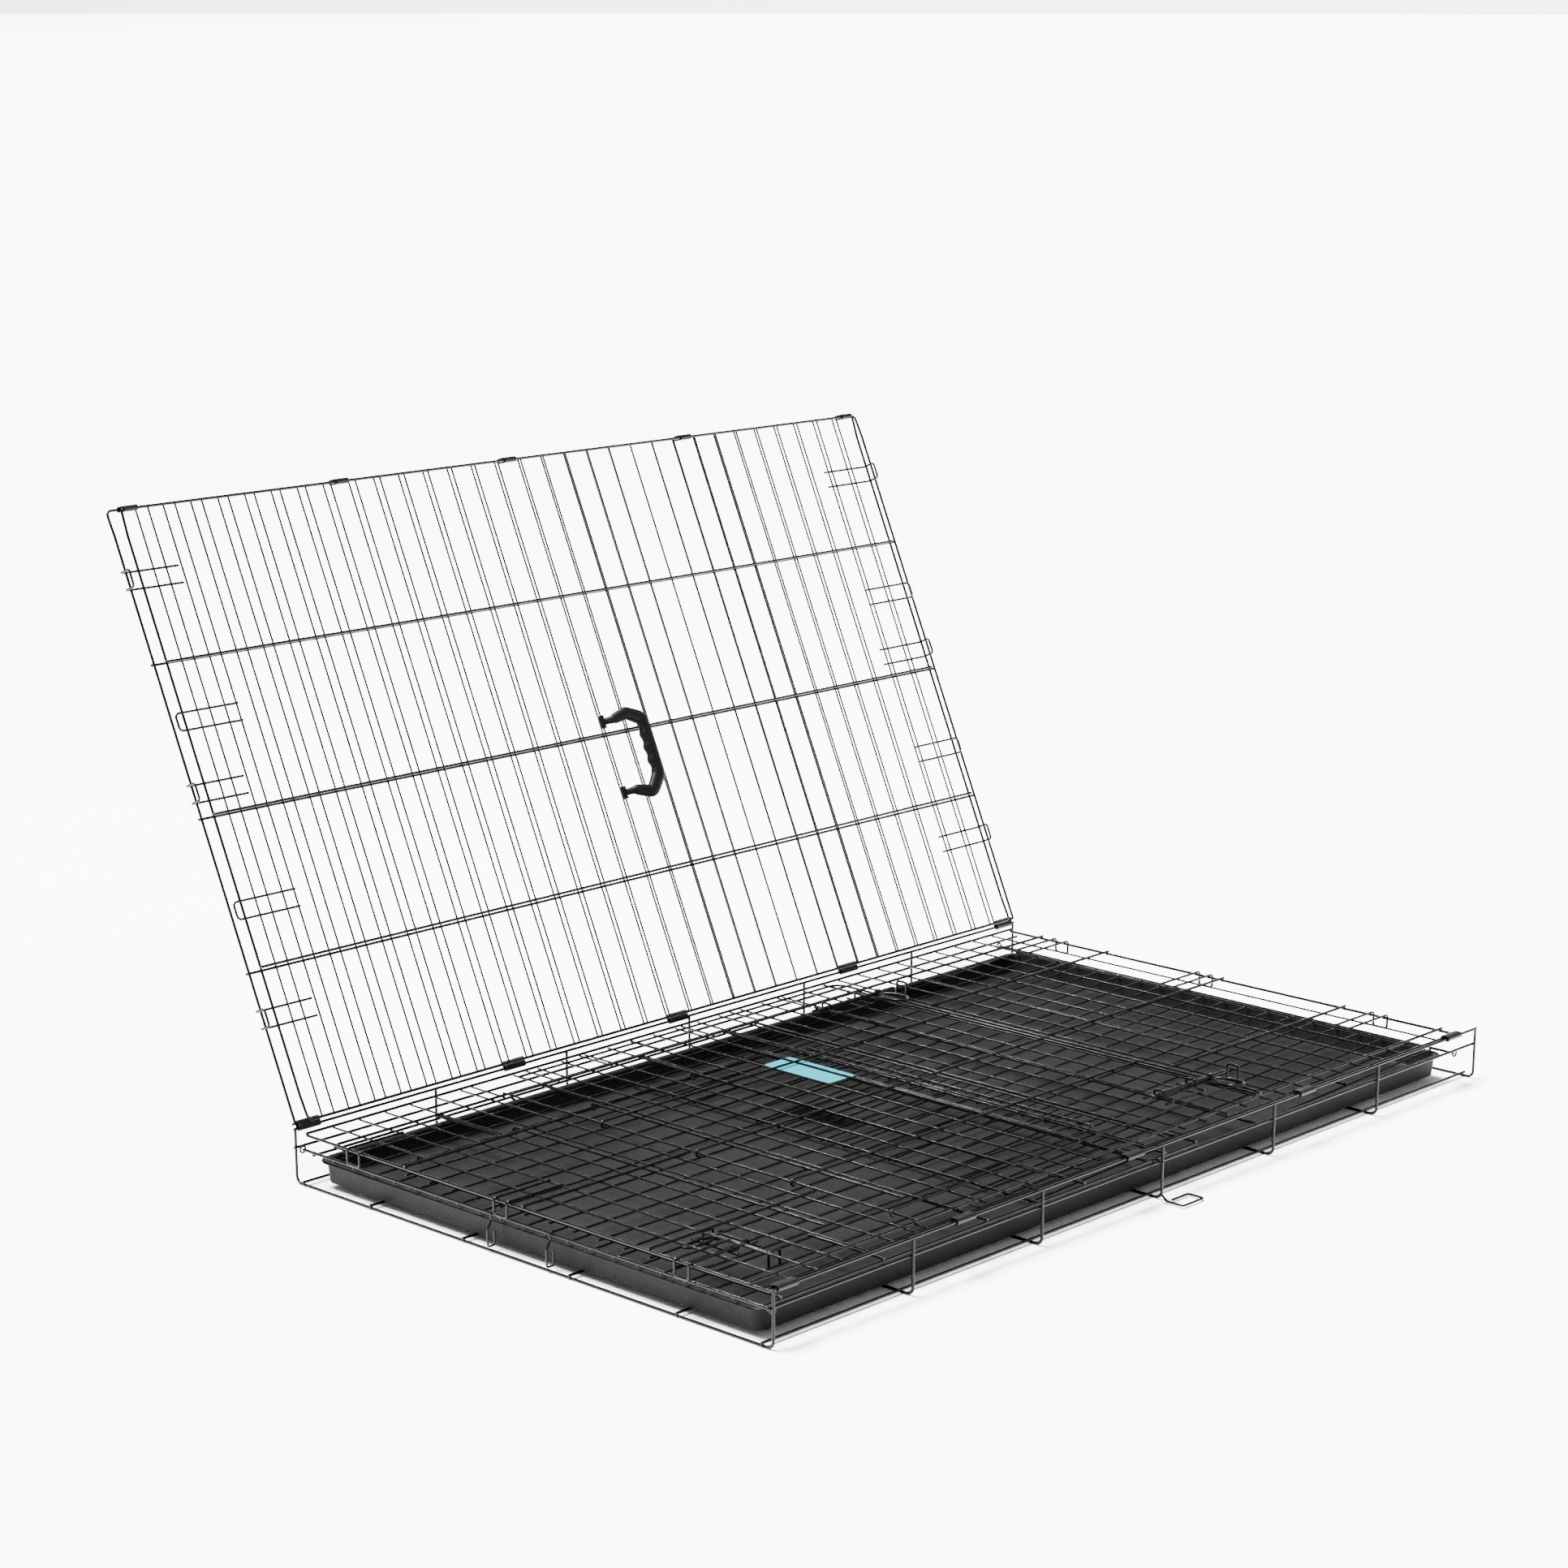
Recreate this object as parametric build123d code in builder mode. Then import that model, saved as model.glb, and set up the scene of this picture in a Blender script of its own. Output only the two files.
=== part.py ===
from build123d import *
from math import cos, radians, sin
import os

os.makedirs("parts", exist_ok=True)

# Driving dimensions, in millimetres and degrees.
length = 1219.0  # long side of the base, along X
width = 724.0  # short side of the base, along Y
rail_height = 62.7  # axis of the top rail of the base
lower_rail_height = 43.0
panel_height = 711.0
lean = 24.2  # the lid leans back from vertical
heavy = 3.2  # diameters of the three wire sizes
middle = 2.8
thin = 2.3
sink = 0.35  # depth that welded wires sink into each other
play = 0.9  # air around a wire that turns in a sleeve or an eye
sheet = 0.9  # thickness of the sleeves' sheet steel

left = -length / 2
front = -490.0  # Y of the front rail
back = front + width
leg_places = [0, 203, 406, length / 2, length - 406, length - 203, length]
floor_wire_places = [14, 131, 286, 448, 598, 711]
crossing = (heavy + thin) / 2 - sink  # between the axes of a heavy and a thin wire
hinge_gap = 5.6  # between a rail and the panel wire that shares its sleeves


def save(part, name):
    part.label = name
    export_step(part, "parts/" + name + ".step")


def uprights(frame, places, diameter, low, high, raised=0.0):
    """Straight wires up a panel, one at each place along it."""
    foot = Plane(frame.origin + frame.y_dir * low, x_dir=frame.x_dir, z_dir=frame.y_dir)
    with BuildSketch(foot) as ends:
        with Locations(*[(place, -raised) for place in places]):
            Circle(diameter / 2)
    extrude(ends.sketch, amount=high - low)


def crossbars(frame, heights, diameter, start, end, raised=0.0):
    """Straight wires along a panel, one at each height up it."""
    side = Plane(frame.origin + frame.x_dir * start, x_dir=frame.y_dir, z_dir=frame.x_dir)
    with BuildSketch(side) as ends:
        with Locations(*[(height, raised) for height in heights]):
            Circle(diameter / 2)
    extrude(ends.sketch, amount=end - start)


def edge_wires(frame, wide, low, high, side):
    """The heavy wires up both edges of a panel, on one side of its crossbars."""
    uprights(frame, [0, wide], heavy, low, high, side * (heavy - sink))


def bent_wire(frame, points, diameter, bend, close=False):
    """One wire through the points, with the same bend at each corner."""
    with BuildLine(frame) as route:
        FilletPolyline(*points, radius=bend, close=close)
    with BuildSketch(Plane(route.line @ 0, z_dir=route.line % 0)) as end:
        Circle(diameter / 2)
    sweep(end.sketch, path=route.line)


def wire_ring(plane, radius, diameter):
    """A welded wire ring around the plane's normal."""
    with BuildLine(plane) as circle:
        CenterArc((0, 0), radius, 0, 360)
    with BuildSketch(Plane(circle.line @ 0, z_dir=circle.line % 0)) as end:
        Circle(diameter / 2)
    sweep(end.sketch, path=circle.line)


def sleeves(frame, places, long, gap, angle):
    """Folded sheet sleeves around two parallel wires; the frame's origin is on the first."""
    inner = heavy / 2 + play
    for place in places:
        side = Plane(frame.origin + frame.x_dir * (place - long / 2), x_dir=frame.y_dir, z_dir=frame.x_dir)
        with BuildSketch(side) as section:
            with Locations(Location((gap / 2 * cos(radians(angle)), gap / 2 * sin(radians(angle))))):
                SlotCenterToCenter(gap, 2 * (inner + sheet), rotation=angle)
                SlotCenterToCenter(gap, 2 * inner, rotation=angle, mode=Mode.SUBTRACT)
        extrude(section.sketch, amount=long)


def edge_hook(frame, edge, inward, height, level, tip):
    """A wire from the third upright to past the edge, bent to a hook and back."""
    root = edge + inward * 74
    out = edge - inward * 5
    points = [(root, height - 10, level), (out, height - 10, level), (out, height - 10, tip)]
    points += [(out, height + 10, tip), (out, height + 10, level), (root, height + 10, level)]
    bent_wire(frame, points, middle, 3.5)


def door_wires(frame, jamb, free_edge, low, high, bars, first):
    """A welded door whose bars curl around the jamb wire at their left ends."""
    curl = bar_level - jamb_level
    for bar in bars:
        section = Plane(frame.origin + frame.y_dir * bar + frame.z_dir * jamb_level
                        + frame.x_dir * jamb, x_dir=frame.x_dir, z_dir=-frame.y_dir)
        with BuildLine(section) as route:
            Line((free_edge - jamb - sink, curl), (0, curl))
            CenterArc((0, 0), curl, 90, 200)
        with BuildSketch(Plane(route.line @ 0, z_dir=route.line % 0)) as end:
            Circle(middle / 2)
        sweep(end.sketch, path=route.line)
    rim = [(first - 5, low + 8, bar_level), (free_edge, low + 8, bar_level)]
    rim += [(free_edge, high - 13, bar_level), (first - 5, high - 13, bar_level)]
    bent_wire(frame, rim, middle, 16)
    count = int((free_edge - 4 - first) // pitch) + 1
    uprights(frame, [first + pitch * i for i in range(count)], thin, low, high, door_level)


# Levels above a side panel's heavy wires, towards its outer face.
pitch = 37.2
jamb_level = (heavy + thin) / 2 - sink
door_level = heavy / 2 + play + thin / 2
bar_level = door_level + (thin + middle) / 2 - sink
bolt_level = 12.0
bolt = 5.0  # diameter of the side door's bolts
end_bolt = 4.0
end_bolt_level = 10.1

# Frames: x along a panel, y up it from its hinge, z out of its face.
base = Plane((left, front, 0))
front_frame = Plane((left, front, rail_height))
leaning = (0, -cos(radians(lean)), sin(radians(lean)))
rear_frame = Plane((left, back, rail_height), x_dir=(1, 0, 0), z_dir=leaning)
top_gap = 9.6  # between the rear panel's top wire and the top panel's hinge wire
top_width = 32 * pitch
top_frame = Plane(rear_frame.origin + rear_frame.x_dir * ((length - top_width) / 2)
                  + rear_frame.y_dir * (panel_height - 2) + rear_frame.z_dir * top_gap,
                  x_dir=(1, 0, 0), z_dir=leaning)
end_width = 676.0
left_end_place = 5.0
left_end_height = 39.5
left_frame = Plane((left + left_end_place, back - (width - end_width) / 2, left_end_height),
                   x_dir=(0, -1, 0), z_dir=(0, 0, 1))
right_width = 644.0
right_end_place = 1185.0
right_end_height = 38.0
right_tilt = radians(1.77)
right_frame = Plane((left + right_end_place, front + (width - right_width) / 2, right_end_height),
                    x_dir=(0, 1, 0), z_dir=(-sin(right_tilt), 0, cos(right_tilt)))

# ---- Base: a welded basket, split into its groups of wires -----------------
with BuildPart() as base_floor_wires:
    crossbars(base, floor_wire_places, heavy, -3, length + 3, heavy * 1.5)
save(base_floor_wires.part, "base_floor_wires")


def floor_frames(places):
    """Wires across the floor with both ends bent up to the top rails."""
    for place in places:
        points = [(place, 0, rail_height - heavy / 2), (place, 0, heavy / 2)]
        points += [(place, width, heavy / 2), (place, width, rail_height - heavy / 2)]
        bent_wire(base, points, heavy, 8)


with BuildPart() as base_end_frames:
    floor_frames([leg_places[0], leg_places[-1]])
save(base_end_frames.part, "base_end_frames")

with BuildPart() as base_cross_frames:
    floor_frames(leg_places[1:-1])
save(base_cross_frames.part, "base_cross_frames")

with BuildPart() as base_top_rails:
    crossbars(base, [0, width], heavy, -2, length + 2, rail_height)
save(base_top_rails.part, "base_top_rails")

# The lower rails lie inside the legs and carry the eyes of the end panels.
rail_inset = heavy
eye_inset = rail_inset + heavy / 2 + thin / 2 - sink
with BuildPart() as base_lower_rails:
    crossbars(base, [rail_inset, width - rail_inset], heavy, -5, length + 5, lower_rail_height)
    for place, height in [(left_end_place, left_end_height), (right_end_place, right_end_height)]:
        for across in [eye_inset, width - eye_inset]:
            eye = Plane((left + place, front + across, height), x_dir=(1, 0, 0), z_dir=(0, 1, 0))
            wire_ring(eye, heavy / 2 + play + thin / 2, thin)
save(base_lower_rails.part, "base_lower_rails")

# ---- Tray ------------------------------------------------------------------
tray_long = 1188.0
tray_wide = 678.0
tray_bottom = 2 * heavy + 0.8
tray_top = 33.0
tray_wall = 2.5
tray_lip = 6.0
tray_centre = (left + 5 + tray_long / 2, front + 22 + tray_wide / 2)
with BuildPart() as tray:
    for inset, raise_floor, mode in [(0, 0, Mode.ADD), (tray_wall, tray_wall, Mode.SUBTRACT)]:
        levels = [(tray_bottom + raise_floor, tray_lip + 3), (tray_top, tray_lip)]
        for level, margin in levels:
            with BuildSketch(Plane((*tray_centre, level))):
                RectangleRounded(tray_long - 2 * (margin + inset), tray_wide - 2 * (margin + inset), 18)
        loft(mode=mode)
    with BuildSketch(Plane((*tray_centre, tray_top - tray_wall))):
        RectangleRounded(tray_long, tray_wide, 20)
        RectangleRounded(tray_long - 2 * tray_lip - 4, tray_wide - 2 * tray_lip - 4, 18, mode=Mode.SUBTRACT)
    extrude(amount=tray_wall)
save(tray.part, "tray")

# ---- Lid: rear panel with the top panel folded against it --------------------
rear_pitch = length / 32
rear_quarters = [panel_height * part / 4 for part in (1, 2, 3)]
with BuildPart() as rear_panel:
    inside = [rear_pitch * i for i in range(1, 32)]
    uprights(rear_frame, inside, thin, hinge_gap - 1, panel_height + 1, crossing)
    edge_wires(rear_frame, length, hinge_gap - 1, panel_height + 1, 1)
    crossbars(rear_frame, [hinge_gap, *rear_quarters, panel_height], heavy, -2, length + 2)
save(rear_panel.part, "rear_panel")

hook_level = crossing - (thin + middle) / 2 - 0.05
with BuildPart() as rear_panel_hooks:
    for height in [125, 384, 630]:
        edge_hook(rear_frame, 0, 1, height, hook_level, 17)
        edge_hook(rear_frame, length - 14.5, -1, height, hook_level, 17)
save(rear_panel_hooks.part, "rear_panel_hooks")

with BuildPart() as rear_hinge_clips:
    sleeves(rear_frame, [rear_pitch * i for i in (0.5, 8.5, 15.5, 23.5, 31.5)], 30, hinge_gap, 0)
save(rear_hinge_clips.part, "rear_hinge_clips")

top_edge = Plane(rear_frame.origin + rear_frame.y_dir * panel_height, x_dir=(1, 0, 0), z_dir=leaning)
with BuildPart() as top_hinge_clips:
    sleeves(top_edge, [26.2, 327, 590, 891, length - 26], 18, top_gap, 100.8)
save(top_hinge_clips.part, "top_hinge_clips")

top_length = 704.0
top_quarters = [-top_length * part / 4 for part in range(5)]
with BuildPart() as top_panel:
    uprights(top_frame, [pitch * i for i in range(1, 32)], thin, -top_length - 1, 1, -crossing)
    edge_wires(top_frame, top_width, -top_length - 1, 1, -1)
    crossbars(top_frame, top_quarters, heavy, -2, top_width + 2)
save(top_panel.part, "top_panel")

with BuildPart() as top_panel_loops:
    for height in [-245, -462]:
        for edge, inward, reach in [(0, 1, 12), (top_width, -1, 8)]:
            root = edge + inward * 2 * pitch
            out = edge - inward * reach
            points = [(root, height - 10, -hook_level), (out, height - 10, -hook_level)]
            points += [(out, height + 10, -hook_level), (root, height + 10, -hook_level)]
            bent_wire(top_frame, points, middle, 5)
save(top_panel_loops.part, "top_panel_loops")

# Carrying handle, snapped on one upright of the top panel.
handle_wire = 16 * pitch
grip = 12.0
grip_level = 9.5
clip_places = [-337, -427]
with BuildPart() as handle_grip:
    corners = [(11, clip_places[0], 5), (30, clip_places[0] + 4, grip_level)]
    corners += [(53, clip_places[0] - 6, grip_level), (53, clip_places[1] + 12, grip_level)]
    corners += [(36, clip_places[1] - 7, grip_level), (11, clip_places[1], 5)]
    bent_wire(top_frame, [(handle_wire + x, y, z) for x, y, z in corners], grip, 9)
    for place in clip_places:
        section = Plane(top_frame.origin + top_frame.y_dir * (place - 7),
                        x_dir=top_frame.x_dir, z_dir=top_frame.y_dir)
        with BuildSketch(section) as lug:
            with Locations((handle_wire, crossing)):
                Circle(2.6)
            with Locations((handle_wire + 12, -4)):
                Circle(4)
            make_hull()
        extrude(lug.sketch, amount=14)
        with BuildSketch(section) as bore:
            with Locations((handle_wire, crossing)):
                Circle(1.85)
        extrude(bore.sketch, amount=14, mode=Mode.SUBTRACT)
save(handle_grip.part, "handle_grip")

# ---- Front side panel, folded flat over the base -----------------------------
front_long = 32 * pitch
front_top = 703.0
opening = [240, 828]
opening_low = 30
opening_high = 650
front_quarters = [170, 355, 540]
with BuildPart() as front_panel:
    inside = [pitch * i for i in (*range(1, 7), *range(23, 32))]
    uprights(front_frame, inside, thin, hinge_gap - 1, front_top + 1, -crossing)
    edge_wires(front_frame, front_long, hinge_gap - 1, front_top + 1, -1)
    shorts = [opening[0] + 84 * i for i in range(8)]
    uprights(front_frame, shorts, thin, hinge_gap - 1, opening_low + 1, -crossing)
    uprights(front_frame, shorts, thin, opening_high - 1, front_top + 1, -crossing)
    uprights(front_frame, opening[:1], thin, opening_low - 1, opening_high + 1, jamb_level)
    uprights(front_frame, opening[1:], heavy, opening_low, opening_high, 0)
    crossbars(front_frame, [hinge_gap, opening_low, opening_high, front_top], heavy, -2, front_long + 2)
    crossbars(front_frame, front_quarters, heavy, -2, opening[0] + 1)
    crossbars(front_frame, front_quarters, heavy, opening[1], front_long + 2)
save(front_panel.part, "front_panel")

with BuildPart() as front_panel_hooks:
    for height in [120, 385, 620]:
        edge_hook(front_frame, 0, 1, height, -hook_level, -17)
        edge_hook(front_frame, front_long, -1, height, -hook_level, -17)
save(front_panel_hooks.part, "front_panel_hooks")

with BuildPart() as front_hinge_clips:
    sleeves(front_frame, [0.5 * pitch, 282, 560, 23.5 * pitch, 31.5 * pitch], 28, hinge_gap, 0)
save(front_hinge_clips.part, "front_hinge_clips")


def keeper(frame, place, height, reach, foot):
    """A staple that stands over a bolt's end."""
    points = [(place, height - 8, foot), (place, height - 8, reach)]
    points += [(place, height + 8, reach), (place, height + 8, foot)]
    bent_wire(frame, points, middle, 3.5)


keeper_place = 23 * pitch
keeper_foot = -crossing + thin / 2 + 0.05
side_bolt_heights = [90, 598]
with BuildPart() as side_bolt_keepers:
    for height in side_bolt_heights:
        keeper(front_frame, keeper_place, height, bolt_level + bolt / 2 + play + middle / 2, keeper_foot)
save(side_bolt_keepers.part, "side_bolt_keepers")

# ---- Side door -----------------------------------------------------------------
door_first = 290.0
door_edge = 822.0
with BuildPart() as side_door:
    door_wires(front_frame, opening[0], door_edge, 10, 688, [60, 200, 340, 487, 633], door_first)
save(side_door.part, "side_door")


def guides(frame, places, height, level, diameter, foot):
    """Two short wires laid on the door, with arches on them that the bolt slides under."""
    top = level + diameter / 2 + play + middle / 2 + 0.5
    crossbars(frame, [height - 16, height + 16], middle, places[0] - 8, places[1] + 8, foot)
    for place in places:
        arch = [(place, height - 20, foot + 2), (place, height - 7, foot + 2), (place, height - 7, top)]
        arch += [(place, height + 7, top), (place, height + 7, foot + 2), (place, height + 20, foot + 2)]
        bent_wire(frame, arch, middle, 2.5)


guide_foot = door_level + (thin + middle) / 2 + 0.05
guide_places = [719, 777]
with BuildPart() as side_bolt_guides:
    for height in side_bolt_heights:
        guides(front_frame, guide_places, height, bolt_level, bolt, guide_foot)
save(side_bolt_guides.part, "side_bolt_guides")


def slide_bolt(frame, tail, tip, pull, wide, height, level, diameter):
    """A round bolt with a closed finger loop welded on it."""
    crossbars(frame, [height], diameter, tail, tip, level)
    loop = [(pull, height, level), (pull, height - 40, level)]
    loop += [(pull + wide, height - 44, level), (pull + wide, height, level)]
    bent_wire(frame, loop, diameter - 1.5, 6)


with BuildPart() as lower_side_bolt:
    slide_bolt(front_frame, 706, 841, 790, 19, side_bolt_heights[0], bolt_level, bolt)
save(lower_side_bolt.part, "lower_side_bolt")

with BuildPart() as upper_side_bolt:
    slide_bolt(front_frame, 706, 841, 790, 19, side_bolt_heights[1], bolt_level, bolt)
save(upper_side_bolt.part, "upper_side_bolt")

card_level = door_level - thin / 2 - 0.4
with BuildPart() as info_card:
    with BuildSketch(Plane(front_frame.origin + front_frame.z_dir * (card_level - 0.35))):
        with Locations((542, 461)):
            RectangleRounded(44, 104, 4)
    extrude(amount=0.35)
save(info_card.part, "info_card")

# ---- Left end panel with the end door ------------------------------------------
end_long = 695.0
end_pitch = end_width / 20
end_opening = [3 * end_pitch, 17 * end_pitch]
end_low = 30
end_high = 640
end_quarters = [180, 340, 500]
axle_end = (width - end_width) / 2 - 6.5
with BuildPart() as left_end_panel:
    inside = [end_pitch * i for i in (1, 2, 3, 17, 18, 19)]
    uprights(left_frame, inside, thin, -1, end_long + 1, -crossing)
    edge_wires(left_frame, end_width, -1, end_long + 1, -1)
    shorts = [end_pitch * i for i in range(4, 17)]
    uprights(left_frame, shorts, thin, -1, end_low + 1, -crossing)
    uprights(left_frame, shorts, thin, end_high - 1, end_long + 1, -crossing)
    uprights(left_frame, [end_opening[0] + 6], thin, end_low - 1, end_high + 1, jamb_level)
    crossbars(left_frame, [0], heavy, -axle_end, end_width + axle_end)
    crossbars(left_frame, [end_low, end_high, end_long], heavy, -1, end_width + 1)
    crossbars(left_frame, end_quarters, heavy, -1, end_opening[0] + 7)
    crossbars(left_frame, end_quarters, heavy, end_opening[1] - 1, end_width + 1)
save(left_end_panel.part, "left_end_panel")

end_bolt_height = 92
with BuildPart() as end_bolt_keeper:
    reach = end_bolt_level + end_bolt / 2 + 2 * play + middle / 2
    keeper(left_frame, 18 * end_pitch, end_bolt_height, reach, keeper_foot)
save(end_bolt_keeper.part, "end_bolt_keeper")

end_first = end_opening[0] + 38
end_edge = end_opening[1] + 3
with BuildPart() as end_door:
    bars = [60, 200, 320, 480, 600]
    door_wires(left_frame, end_opening[0] + 6, end_edge, 12, 660, bars, end_first)
save(end_door.part, "end_door")

with BuildPart() as end_bolt_guides:
    places = [end_edge - 62, end_edge - 12]
    guides(left_frame, places, end_bolt_height, end_bolt_level - 0.5, end_bolt, guide_foot)
save(end_bolt_guides.part, "end_bolt_guides")

with BuildPart() as end_slide_bolt:
    slide_bolt(left_frame, end_edge - 76, end_edge + 20, end_edge - 57, 15, end_bolt_height,
               end_bolt_level, end_bolt)
save(end_slide_bolt.part, "end_slide_bolt")

# ---- Right end panel, dipping into the tray --------------------------------------
right_pitch = right_width / 19
axle_end = (width - right_width) / 2 - 6.5
with BuildPart() as right_end_panel:
    uprights(right_frame, [right_pitch * i for i in range(20)], thin, -1, panel_height, -crossing)
    crossbars(right_frame, [0], heavy, -axle_end, right_width + axle_end)
    crossbars(right_frame, [*rear_quarters, panel_height - 1], heavy, -1, right_width + 1)
save(right_end_panel.part, "right_end_panel")

# ---- Tray stops: two hooks that hang on the left end panel's bottom wire ----------
hang = heavy / 2 + play + thin / 2
for name, across in [("front_tray_stop", width / 2 - 45), ("rear_tray_stop", width / 2 + 45)]:
    with BuildPart() as tray_stop:
        hub = Plane((left + left_end_place, front + across, left_end_height),
                    x_dir=(1, 0, 0), z_dir=(0, -1, 0))
        with BuildLine(hub) as route:
            over = CenterArc((0, 0), hang, 60, 120)
            turns = [(-hang, 0), (-hang, -5), (-9, -14), (-9, -33.4), (0.6, -33.4), (0.6, -18)]
            FilletPolyline(*turns, radius=2.5)
        with BuildSketch(Plane(over @ 0, z_dir=over % 0)) as end:
            Circle(thin / 2)
        sweep(end.sketch, path=route.line)
    save(tray_stop.part, name)

# ---- Closing catch on the lower front rail ------------------------------------------
catch_place = length / 2 - 7
with BuildPart() as closing_catch:
    inner = rail_inset + heavy / 2 + 1 + middle / 2
    crown = lower_rail_height + heavy / 2 + 1 + middle / 2
    points = [(catch_place, inner, lower_rail_height - 2), (catch_place, inner, crown)]
    points += [(catch_place, -5.2, crown), (catch_place, -5.2, 9), (catch_place, -13, 3)]
    points += [(catch_place, -35, 3), (catch_place + 36, -35, 3), (catch_place + 36, -14, 3)]
    points += [(catch_place + 8, -14, 3)]
    bent_wire(base, points, middle, 3)
save(closing_catch.part, "closing_catch")
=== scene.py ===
from math import cos, pi, radians, sin, tan

import bmesh
import bpy
from mathutils import Matrix, Vector


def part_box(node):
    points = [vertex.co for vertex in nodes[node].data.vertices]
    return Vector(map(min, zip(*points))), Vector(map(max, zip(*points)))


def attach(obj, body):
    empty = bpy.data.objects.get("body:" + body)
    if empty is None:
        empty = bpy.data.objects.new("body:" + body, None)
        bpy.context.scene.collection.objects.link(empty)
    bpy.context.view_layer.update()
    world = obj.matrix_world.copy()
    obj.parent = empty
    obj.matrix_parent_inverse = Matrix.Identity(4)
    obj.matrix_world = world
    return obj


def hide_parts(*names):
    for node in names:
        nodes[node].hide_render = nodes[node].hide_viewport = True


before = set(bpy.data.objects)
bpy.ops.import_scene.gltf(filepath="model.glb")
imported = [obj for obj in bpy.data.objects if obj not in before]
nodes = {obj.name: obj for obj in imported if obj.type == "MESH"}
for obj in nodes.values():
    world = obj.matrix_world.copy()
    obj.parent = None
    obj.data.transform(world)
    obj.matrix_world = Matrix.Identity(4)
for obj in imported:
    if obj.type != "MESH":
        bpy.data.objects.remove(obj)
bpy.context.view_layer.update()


# ---- Materials ---------------------------------------------------------------
class Shader:
    """A principled material and short ways to add nodes to it."""

    def __init__(self, name, roughness, specular):
        self.material = bpy.data.materials.new(name)
        self.material.use_nodes = True
        self.tree = self.material.node_tree
        self.shader = self.tree.nodes["Principled BSDF"]
        self.shader.inputs["Roughness"].default_value = roughness
        self.shader.inputs["Specular IOR Level"].default_value = specular
        self.place = self.tree.nodes.new("ShaderNodeTexCoord").outputs["Object"]

    def link(self, output, name):
        self.tree.links.new(output, self.shader.inputs[name])

    def noise(self, scale, detail=4.0, roughness=0.55):
        node = self.tree.nodes.new("ShaderNodeTexNoise")
        node.inputs["Scale"].default_value = scale
        node.inputs["Detail"].default_value = detail
        node.inputs["Roughness"].default_value = roughness
        self.tree.links.new(self.place, node.inputs["Vector"])
        return node.outputs["Fac"]

    def cells(self, scale):
        node = self.tree.nodes.new("ShaderNodeTexVoronoi")
        node.inputs["Scale"].default_value = scale
        self.tree.links.new(self.place, node.inputs["Vector"])
        return node.outputs["Distance"]

    def colour(self, value, low, high):
        """The base colour, which goes from the low (value, colour) to the high one."""
        node = self.tree.nodes.new("ShaderNodeValToRGB")
        for element, (position, colour) in zip(node.color_ramp.elements, (low, high)):
            element.position = position
            element.color = (*colour, 1)
        self.tree.links.new(value, node.inputs["Fac"])
        self.link(node.outputs["Color"], "Base Color")

    def roughness(self, value, low, high):
        """The roughness, between the low and the high number."""
        node = self.tree.nodes.new("ShaderNodeMapRange")
        node.inputs["To Min"].default_value = low
        node.inputs["To Max"].default_value = high
        self.tree.links.new(value, node.inputs["Value"])
        self.link(node.outputs["Result"], "Roughness")

    def bump(self, height, distance, strength):
        node = self.tree.nodes.new("ShaderNodeBump")
        node.inputs["Distance"].default_value = distance
        node.inputs["Strength"].default_value = strength
        self.tree.links.new(height, node.inputs["Height"])
        self.link(node.outputs["Normal"], "Normal")


def enamel(name, colour, roughness):
    """Baked black enamel: slightly uneven film with a soft gloss."""
    shader = Shader(name, roughness, specular=0.12)
    thin_film = [part * 1.9 for part in colour]
    shader.colour(shader.noise(60, detail=3), (0.35, colour), (0.7, thin_film))
    shader.roughness(shader.noise(900, detail=3), roughness - 0.08, roughness + 0.04)
    shader.bump(shader.noise(1500), distance=0.00005, strength=0.4)
    return shader.material


def moulded(name, colour, roughness, grain, depth):
    """Moulded black plastic with an etched grain."""
    shader = Shader(name, roughness, specular=0.05)
    scuffed = [part * 1.5 for part in colour]
    shader.colour(shader.noise(9), (0.3, colour), (0.75, scuffed))
    shader.roughness(shader.noise(grain * 0.6, detail=2), roughness - 0.08, roughness + 0.12)
    shader.bump(shader.cells(grain), depth, strength=0.6)
    return shader.material


def card_stock(name, dark, light):
    """Printed card: one plain colour with a faint fibre."""
    shader = Shader(name, roughness=0.4, specular=0.15)
    fibres = shader.noise(700, detail=6)
    shader.colour(fibres, (0.3, dark), (0.7, light))
    shader.bump(fibres, distance=0.00005, strength=0.4)
    return shader.material


wire_black = enamel("wire_enamel", (0.0008, 0.0008, 0.0009), 0.2)
sleeve_black = enamel("sleeve_enamel", (0.0022, 0.0022, 0.0024), 0.36)
bolt_black = enamel("bolt_enamel", (0.0014, 0.0014, 0.0015), 0.22)
tray_black = moulded("tray_plastic", (0.0030, 0.0030, 0.0028), 0.5, grain=420, depth=0.0004)
grip_black = moulded("grip_plastic", (0.0018, 0.0018, 0.0018), 0.45, grain=900, depth=0.0002)
card_teal = card_stock("card_stock", (0.001, 0.1, 0.125), (0.002, 0.125, 0.155))

# The CAD nodes keep their shapes and get a material. Those replaced below are hidden.
for name, node in nodes.items():
    node.data.materials.clear()
    if name == "info_card":
        node.data.materials.append(card_teal)
    elif "clips" in name:
        node.data.materials.append(sleeve_black)
    else:
        node.data.materials.append(wire_black)


# ---- Building shapes: the sizes from here on are millimetres, times MM ------------
MM = 0.001
heavy, thin = 3.2, 2.3  # the diameters of the edge and crossbar wires, and of the uprights
sharp_edge = radians(40)


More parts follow.
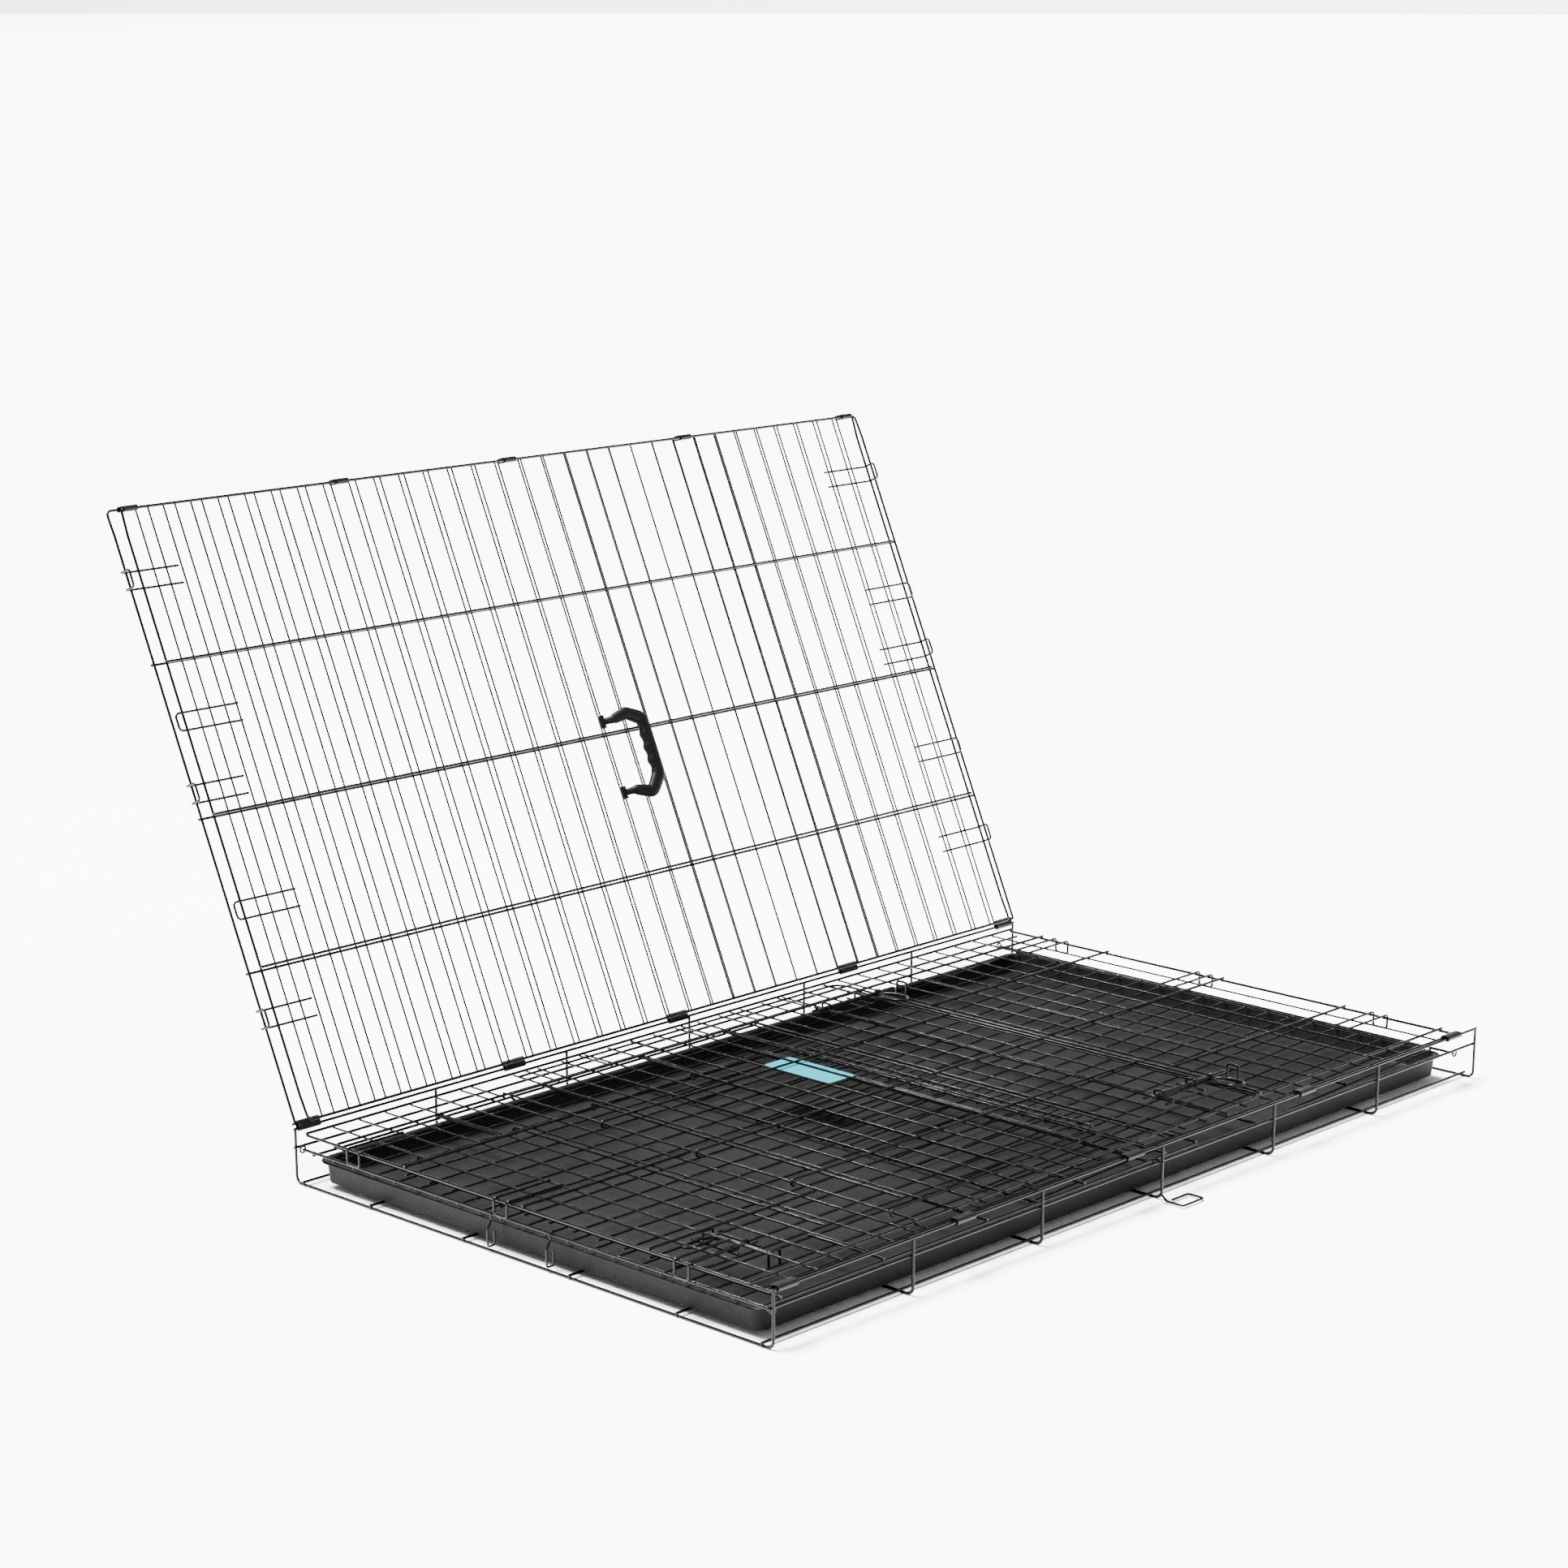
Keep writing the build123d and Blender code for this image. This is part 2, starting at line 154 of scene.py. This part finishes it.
class Panel:
    """A flat panel's own axes: x along its hinge, y away from the hinge, z out of its face."""

    def __init__(self, origin, across, out):
        self.origin = Vector(origin)
        self.x = Vector(across).normalized()
        self.z = Vector(out).normalized()
        self.y = self.z.cross(self.x)

    def at(self, x, y, z=0.0):
        return self.origin + (self.x * x + self.y * y + self.z * z) * MM


def circle(sides):
    """The directions round a circle, in radians."""
    return [2 * pi * step / sides for step in range(sides)]


def rounded(points, bend, steps=6):
    """The route through the points, with an arc at each corner."""
    most = 0.49  # of each side, so that two arcs never meet
    route = [points[0]]
    for before, here, after in zip(points, points[1:], points[2:]):
        back, on = before - here, after - here
        reach = min(bend * MM / tan(back.angle(on) / 2), back.length * most, on.length * most)
        start, end = here + back.normalized() * reach, here + on.normalized() * reach
        for step in range(steps + 1):
            t = step / steps
            route.append(start * (1 - t) ** 2 + here * 2 * t * (1 - t) + end * t * t)
    return route + [points[-1]]


def skin(form, rings):
    """Faces between each ring of vertices and the next."""
    for one, two in zip(rings, rings[1:]):
        for step in range(len(one)):
            after = (step + 1) % len(one)
            form.faces.new((one[step], one[after], two[after], two[step]))


def tube(form, route, radii, up=None, flat=1.0, sides=14):
    """A closed bar along the route; radii is one radius or one for each point.

    Its width across up is the radius, and its thickness along up is that times flat.
    """
    if not isinstance(radii, list):
        radii = [radii] * len(route)
    ahead = [(b - a).normalized() for a, b in zip(route, route[1:])]
    between = [(a + b).normalized() for a, b in zip(ahead, ahead[1:])]
    ahead = [ahead[0]] + between + [ahead[-1]]
    normal = up or ahead[0].orthogonal()
    rings = []
    for point, forward, radius in zip(route, ahead, radii):
        normal = (normal - forward * normal.dot(forward)).normalized()
        side = forward.cross(normal)
        offsets = [normal * cos(turn) * flat + side * sin(turn) for turn in circle(sides)]
        rings.append([form.verts.new(point + offset * radius * MM) for offset in offsets])
    skin(form, rings)
    form.faces.new(rings[0])
    form.faces.new(rings[-1])


def piece(name, form, body, finish, material, *stands_for):
    """The finished mesh as a named piece that rides on a CAD body."""
    bmesh.ops.recalc_face_normals(form, faces=form.faces)
    mesh = bpy.data.meshes.new(name)
    form.to_mesh(mesh)
    form.free()
    mesh.polygons.foreach_set("use_smooth", [True] * len(mesh.polygons))
    mesh.set_sharp_from_angle(angle=sharp_edge)
    obj = bpy.data.objects.new(name, mesh)
    bpy.context.collection.objects.link(obj)
    obj.data.materials.append(material)
    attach(obj, body)
    if stands_for:
        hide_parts(*stands_for)


# ---- The panels' own axes, from the CAD's boxes -------------------------------------
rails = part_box("base_top_rails")
rail_end = 2  # the rails reach this far past the panels' corners
left, right = rails[0][0] + rail_end * MM, rails[1][0] - rail_end * MM
front, back = rails[0][1] + heavy / 2 * MM, rails[1][1] - heavy / 2 * MM
rail_height = (rails[0][2] + rails[1][2]) / 2
length = (right - left) / MM

sink = 0.35  # how deep two welded wires sink into each other
crossing = (heavy + thin) / 2 - sink  # from a crossbar's middle to an upright's
edge_level = heavy - sink  # from a crossbar's middle to the edge wire's
spaces = 32  # across a long panel, between its uprights
crossbars = (1, 2, 3)  # at quarters of a panel's height
past_edge, past_bar = 2, 1  # how far a crossbar and an upright run past their welds

lean = radians(24.2)  # how far the rear panel leans back from upright
leaning = (0, -cos(lean), sin(lean))
pitch = 37.2  # between the top panel's uprights
top_width = spaces * pitch
top_hinge, top_gap = 709, 9.6  # up the rear panel, and out of it
side_hinge = (5, 24, 39.5)  # in from the left corner, forward from the back rail, and up

front_panel = Panel((left, front, rail_height), (1, 0, 0), (0, 0, 1))
rear_panel = Panel((left, back, rail_height), (1, 0, 0), leaning)
top_origin = rear_panel.at((length - top_width) / 2, top_hinge, top_gap)
top_panel = Panel(top_origin, (1, 0, 0), leaning)
left_origin = (left + side_hinge[0] * MM, back - side_hinge[1] * MM, side_hinge[2] * MM)
left_panel = Panel(left_origin, (0, -1, 0), (0, 0, 1))


# ---- Tray: one pressed sheet with a rolled rim ----------------------------------------
def rounded_rectangle(low, high, radius):
    """The outline between two corners, in metres."""
    steps = 10
    outline = []
    corners = [(high[0], high[1]), (low[0], high[1]), (low[0], low[1]), (high[0], low[1])]
    for quarter, (x, y) in enumerate(corners):
        middle_x = x - radius if x == high[0] else x + radius
        middle_y = y - radius if y == high[1] else y + radius
        for step in range(steps + 1):
            turn = radians(90 * quarter + 90 * step / steps)
            outline.append((middle_x + radius * cos(turn), middle_y + radius * sin(turn)))
    return outline


def make_tray():
    low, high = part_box("tray")
    top, bottom = high[2] / MM, low[2] / MM
    corner, least_corner = 20, 6
    # Each outline is so far in from the tray's edge, at a level from its top or its bottom.
    rim = [(6.6, -4.6), (6.0, -3.0), (4.6, -2.3), (1.6, -2.5), (0.4, -2.2), (0.0, -1.4),
           (0.5, -0.6), (1.8, -0.1), (4.4, 0.0), (7.0, -0.3), (8.2, -1.2), (8.7, -2.8)]
    pan = [(10.9, 5.5), (11.8, 3.8), (13.6, 2.8), (16.5, 2.5), (30.0, 2.5)]
    section = [(8.9, bottom)]
    section += [(inset, top + level) for inset, level in rim]
    section += [(inset, bottom + level) for inset, level in pan]
    form = bmesh.new()
    rings = []
    for inset, level in section:
        shrink = inset * MM
        outline = rounded_rectangle((low[0] + shrink, low[1] + shrink),
                                    (high[0] - shrink, high[1] - shrink),
                                    max(corner - inset, least_corner) * MM)
        rings.append([form.verts.new((x, y, level * MM)) for x, y in outline])
    skin(form, rings)
    form.faces.new(rings[0])
    form.faces.new(rings[-1])
    piece("plastic_tray", form, "tray", "tray_plastic", tray_black, "tray")


# ---- Carrying handle --------------------------------------------------------------------
def barrel(form, wire, height):
    """A ribbed snap-on barrel round one upright of the top panel."""
    bore, groove, rib = 1.6, 3.7, 4.4  # radii
    half, ribs, spacing, sides = 8, 5, 3.2, 20
    stations = []
    for count in range(ribs):
        foot = height - half + count * spacing
        stations += [(foot, groove), (foot + 0.5, rib), (foot + 1.9, rib), (foot + 2.4, groove)]
    stations += [(height + half, groove)]
    profile = [(stations[0][0], bore)] + stations + [(stations[-1][0], bore)]
    rings = []
    for y, radius in profile:
        spots = [(wire + radius * cos(turn), y, -crossing + radius * sin(turn))
                 for turn in circle(sides)]
        rings.append([form.verts.new(top_panel.at(*spot)) for spot in spots])
    skin(form, rings + rings[:1])


def make_handle():
    wire = 16 * pitch  # the upright that the handle is snapped on
    head, foot = -337, -427  # where its two ends are
    root, reach = 13, 53  # from the upright to the grip's ends and to its middle
    low, high = 5, 9.5  # how far the grip's ends and its middle stand out of the panel
    bend, stride = 9, 1.5
    corners = [(root, head, low), (30, head + 4, high), (reach, head - 6, high),
               (reach, foot + 12, high), (36, foot - 7, high), (root, foot, low)]
    route = rounded([top_panel.at(wire + x, y, z) for x, y, z in corners], bend, 8)
    fine = []
    for one, two in zip(route, route[1:]):
        parts = max(1, round((two - one).length / (stride * MM)))
        fine += [one.lerp(two, part / parts) for part in range(parts)]
    fine.append(route[-1])
    travelled = [0]
    for one, two in zip(fine, fine[1:]):
        travelled.append(travelled[-1] + (two - one).length)
    end_radius, swell = 6.3, 3.4
    swells = [max(sin(pi * part / travelled[-1]), 0) ** 0.7 for part in travelled]
    form = bmesh.new()
    tube(form, fine, [end_radius + swell * part for part in swells], top_panel.z, 0.66, 24)

    # Finger dents along the inner side of the grip.
    inner_edge, dent_foot, dent_head = wire + reach - 2, foot + 14, head - 10
    dent_pitch, dent_depth, dent_fade = 16.5, 2.6, 6
    for vertex in form.verts:
        spot = vertex.co - top_panel.origin
        inner = inner_edge - spot.dot(top_panel.x) / MM
        up = spot.dot(top_panel.y) / MM
        if inner > 0 and dent_foot < up < dent_head:
            dent = (1 - cos(2 * pi * (up - dent_foot) / dent_pitch)) * 0.5
            vertex.co += top_panel.x * (dent_depth * dent * min(inner / dent_fade, 1)) * MM

    # A barrel at each end, and the lug that joins it to the grip.
    lug = [(3.2, -1.4), (8, 1.5), (15, 5.2)]
    for end in (head, foot):
        barrel(form, wire, end)
        tube(form, [top_panel.at(wire + x, end, z) for x, z in lug],
             [4.2, 4.6, 5.6], top_panel.z, 0.8, 16)
    piece("carrying_handle", form, "handle", "grip_plastic", grip_black, "handle_grip")


# ---- Slide bolts --------------------------------------------------------------------------
def rod(form, panel, tail, tip, height, level, radius):
    """A round bar along the panel with both ends rounded."""
    # How far from an end, and how thick there, both as parts of the radius.
    marks = [(0, 0.35), (0.25, 0.7), (0.9, 0.95), (1.6, 1.0)]
    places = [tail + radius * x for x, r in marks] + [tip - radius * x for x, r in reversed(marks)]
    radii = [radius * r for x, r in marks] + [radius * r for x, r in reversed(marks)]
    tube(form, [panel.at(x, height, level) for x in places], radii, sides=18)


def coil(form, panel, place, height, level, inner, radius):
    """Close turns of wire round the bolt."""
    turns, steps, bite, spacing = 2, 20, 0.1, 2.05
    route = []
    reach = inner + radius - bite
    for step in range(turns * steps + 1):
        turn = 2 * pi * step / steps - pi / 2
        along = place + (step / steps - turns / 2) * radius * spacing
        route.append(panel.at(along, height + reach * cos(turn), level + reach * sin(turn)))
    tube(form, route, radius, sides=12)


def make_bolt(name, body, node, panel, tail, tip, knot, height, level, radius, wide):
    """A bolt from tail to tip, with a wire wound on it at the knot that ends in a pull loop."""
    coil_radius, loop_radius, bend, tip_drop = 1.2, 1.6, 9, 49
    form = bmesh.new()
    rod(form, panel, tail, tip, height, level, radius)
    coil(form, panel, knot, height, level, radius, coil_radius)
    # One side of the loop, downwards: out from the knot, up, and out of the panel.
    side = [(2.4, 1, -radius), (2.6, -8, 0), (wide / 2, -20, 0), (wide / 2, -38, 0)]
    loop = [(knot - x, height + y, level + z) for x, y, z in side]
    loop += [(knot, height - tip_drop, level)]
    loop += [(knot + x, height + y, level + z) for x, y, z in reversed(side)]
    tube(form, rounded([panel.at(*corner) for corner in loop], bend), loop_radius, sides=12)
    piece(name, form, body, "wire_coat", bolt_black, node)


# ---- Welded panels with their edge wire bent round the free corners -------------------------
def crossbar(form, panel, width, height):
    ends = [panel.at(-past_edge, height), panel.at(width + past_edge, height)]
    tube(form, ends, heavy / 2)


def upright(form, panel, place, low, high, level):
    ends = [panel.at(place, low, level), panel.at(place, high, level)]
    tube(form, ends, thin / 2)


def bow(form, panel, wide, foot, head, side, bend=11):
    """The heavy edge wire, from one foot round the free corners to the other foot.

    It lies on one side of the crossbars, and its run at the head lies level with them.
    """
    straight, level, corner_level = bend + 5, side * edge_level, side * bend * 0.08
    turn = 30 if head > foot else -30  # where it starts to change level
    corners = [(0, foot, level), (0, head - turn, level), (0, head, corner_level),
               (straight, head, 0), (wide - straight, head, 0), (wide, head, corner_level),
               (wide, head - turn, level), (wide, foot, level)]
    tube(form, rounded([panel.at(*corner) for corner in corners], bend), heavy / 2)


def make_top_panel():
    form = bmesh.new()
    tall, hinge_bend = 704, 3
    bow(form, top_panel, top_width, -tall / 2, 0, -1, hinge_bend)
    bow(form, top_panel, top_width, -tall / 2, -tall, -1)
    for quarter in crossbars:
        crossbar(form, top_panel, top_width, -tall * quarter / 4)
    for count in range(1, spaces):
        upright(form, top_panel, pitch * count, -tall - past_bar, past_bar, -crossing)
    piece("top_wire_panel", form, "top_panel", "wire_coat", wire_black, "top_panel")


def make_rear_panel():
    form = bmesh.new()
    tall, foot = 711, 5.6
    bow(form, rear_panel, length, foot - past_bar, tall, 1)
    for height in [foot] + [tall * quarter / 4 for quarter in crossbars]:
        crossbar(form, rear_panel, length, height)
    for count in range(1, spaces):
        place = length / spaces * count
        upright(form, rear_panel, place, foot - past_bar, tall + past_bar, crossing)
    piece("rear_wire_panel", form, "rear_panel", "wire_coat", wire_black, "rear_panel")


make_tray()
make_handle()
make_top_panel()
make_rear_panel()
for bolt, height in [("lower_side_bolt", 90), ("upper_side_bolt", 598)]:
    make_bolt(bolt + "_piece", bolt, bolt, front_panel, tail=706, tip=841, knot=812,
              height=height, level=12, radius=2.5, wide=22)
make_bolt("end_bolt_piece", "end_bolt", "end_slide_bolt", left_panel, tail=501.6, tip=597.6,
          knot=528, height=92, level=10.1, radius=2, wide=12)


# ---- Floor, light and camera ----------------------------------------------------
def add(name, data):
    obj = bpy.data.objects.new(name, data)
    bpy.context.collection.objects.link(obj)
    return obj


def make_floor():
    """A wide white disc that curves up into a far low wall, in metres."""
    sides = 72
    form = bmesh.new()
    rings = []
    for radius, height in [(36, 0), (38, 0.15), (39.5, 0.8), (40, 4)]:
        rings.append([form.verts.new((radius * cos(turn), radius * sin(turn), height))
                      for turn in circle(sides)])
    form.faces.new(rings[0])
    skin(form, rings)
    mesh = bpy.data.meshes.new("studio_floor")
    form.to_mesh(mesh)
    form.free()
    floor = add("studio_floor", mesh)
    shader = Shader("floor_paper", roughness=0.85, specular=0.2)
    shader.colour(shader.noise(3), (0.3, (0.86, 0.86, 0.865)), (0.7, (0.88, 0.88, 0.885)))
    floor.data.materials.append(shader.material)


def make_lights():
    world = bpy.data.worlds.new("studio")
    bpy.context.scene.world = world
    world.use_nodes = True
    sky = world.node_tree.nodes["Background"]
    sky.inputs["Color"].default_value = (1, 1, 1, 1)
    sky.inputs["Strength"].default_value = 0.6

    sun = bpy.data.lights.new("overhead", "SUN")
    sun.energy = 36
    sun.angle = radians(22)
    add("overhead", sun).rotation_euler = (radians(-14), radians(-10), 0)

    # A small lamp above and behind, for the bright lines along the tops of the wires.
    lamp = bpy.data.lights.new("glint", "AREA")
    lamp.size = 0.16
    lamp.energy = 110
    glint = add("glint", lamp)
    glint.location = (0.3, 1.9, 2.6)
    glint.rotation_euler = (-glint.location).to_track_quat("-Z", "Y").to_euler()


def make_camera():
    view = bpy.data.cameras.new("camera")
    view.lens = 82.46
    view.sensor_width = 36
    view.shift_x = -0.0137
    view.shift_y = 0.1143
    view.clip_end = 100
    eye = add("camera", view)
    place = Matrix.Translation((-2.9544, -2.7339, 1.2865))
    turn = Matrix.Rotation(-radians(46.80), 4, "Z")
    tilt = Matrix.Rotation(pi / 2 - radians(15.46), 4, "X")
    roll = Matrix.Rotation(0.00116, 4, "Z")
    eye.matrix_world = place @ turn @ tilt @ roll
    bpy.context.scene.camera = eye


make_floor()
make_lights()
make_camera()
bpy.context.view_layer.update()
